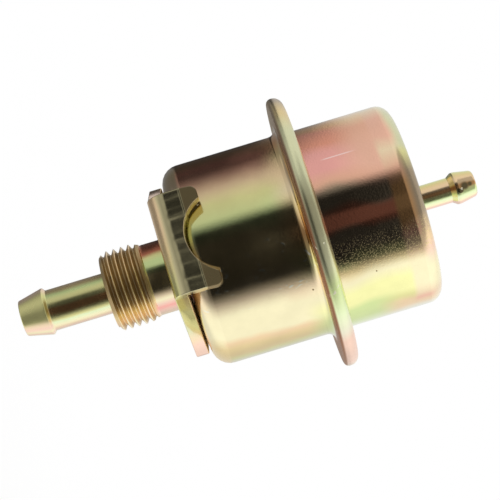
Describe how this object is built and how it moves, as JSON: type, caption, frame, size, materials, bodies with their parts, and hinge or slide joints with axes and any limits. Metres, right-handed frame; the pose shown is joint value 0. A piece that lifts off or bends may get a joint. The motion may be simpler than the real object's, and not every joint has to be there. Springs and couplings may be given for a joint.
{
  "type": "fuel pressure regulator",
  "caption": "Diaphragm fuel pressure regulator: crimped round steel can, vacuum nipple on top, threaded stub with folded bracket and barbed return tube below, barbed inlet at the side.",
  "frame": {"origin": "on the turning axis, in the bracket face that seats on the engine's support, where the threaded stub passes through it", "axes": "+Z along the turning axis from the return barb to the vacuum nipple; -Y is the outward normal of the flap that the picture shows; +Y is the side that the fuel inlet leaves"},
  "size_m": [0.0544, 0.0692, 0.0925],
  "materials": {
    "zinc_drawn": "deep-drawn steel, glossy yellow-passivated zinc with pink and green tints",
    "zinc_turned": "turned steel, yellow-passivated zinc with fine turning marks",
    "zinc_sheet": "pressed steel sheet, yellow-passivated zinc, sheared edges",
    "plain_steel": "bare pressed or turned steel",
    "spring_steel": "drawn spring wire, lightly oiled",
    "brass": "turned brass, lapped sealing face",
    "coated_cloth": "matt rubber-coated cloth"
  },
  "bodies": {
    "housing": {"return_tube": "zinc_turned", "threaded_stub": "zinc_turned", "bracket": "zinc_sheet", "lower_can": "zinc_drawn", "upper_can": "zinc_drawn", "inlet_tube": "zinc_turned", "inlet_collar": "zinc_turned", "vacuum_nipple": "zinc_turned", "diaphragm": "coated_cloth", "valve_seat": "brass", "main_spring": "spring_steel", "spring_cap": "plain_steel"},
    "valve_carrier": {"upper_plate": "plain_steel", "lower_plate": "plain_steel", "valve_holder": "plain_steel", "ball_retainer": "plain_steel", "ball_spring": "spring_steel"},
    "valve": {"valve_ball": "plain_steel", "valve_plate": "plain_steel"}
  },
  "joints": [
    {"name": "valve_lift", "type": "slide", "parent": "housing", "child": "valve_carrier", "axis": [0, 0, 1], "range_m": [0, 0.0008], "stiffness_N_per_m": 12000, "springref_m": -0.008, "deforming": ["main_spring", "diaphragm"]},
    {"name": "valve_align", "type": "hinge", "parent": "valve_carrier", "child": "valve", "pos_m": [0, 0, 0.02155], "axis": [1, 0, 0], "range_deg": [-1.5, 1.5]}
  ]
}
